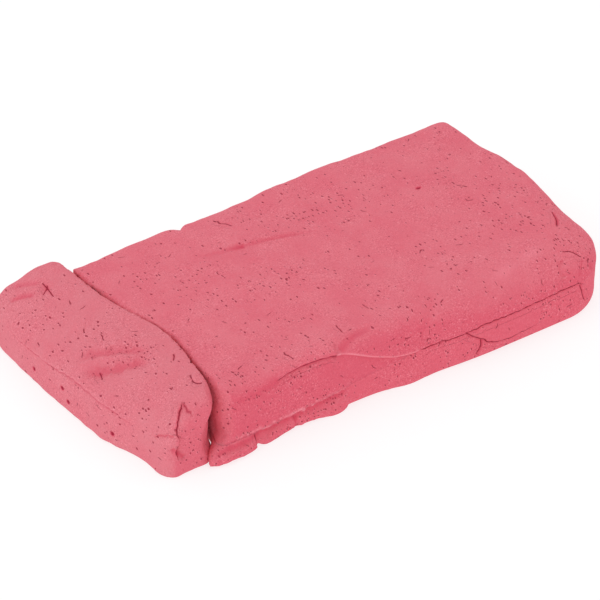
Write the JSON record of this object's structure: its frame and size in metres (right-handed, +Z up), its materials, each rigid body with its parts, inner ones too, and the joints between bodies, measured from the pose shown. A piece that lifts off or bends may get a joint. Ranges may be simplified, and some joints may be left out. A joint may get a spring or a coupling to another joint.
{
  "type": "detailing clay bar",
  "caption": "Flat bar of soft abrasive clay for car paintwork, pressed from layers, with one end folded over against the slab.",
  "frame": {"origin": "centre of the footprint, on the underside", "axes": "+X along the bar from the folded end to the plain end, +Y to the back, where the crease is closed, +Z up"},
  "size_m": [0.129, 0.0701, 0.0188],
  "materials": {
    "clay": "matte, slightly chalky kneaded clay, pink-red, with fine pits, scratches and creases",
    "clay_base": "matte kneaded clay, a deeper pink-red, ragged and pitted",
    "clay_fold": "matte, slightly chalky kneaded clay, pink-red, with pinched wrinkles and pleats",
    "clay_web": "matte torn clay, a deep pink-red"
  },
  "bodies": {
    "slab": {"upper_layer": "clay", "base_layer": "clay_base", "crease_web": "clay_web"},
    "fold": {"folded_end": "clay_fold"}
  },
  "joints": [
    {"name": "fold_open", "type": "hinge", "parent": "slab", "child": "fold", "pos_m": [-0.04748, 0.03062, 0.009], "axis": [0, 0, -1], "range_deg": [0, 60], "deforming": ["crease_web"]}
  ]
}
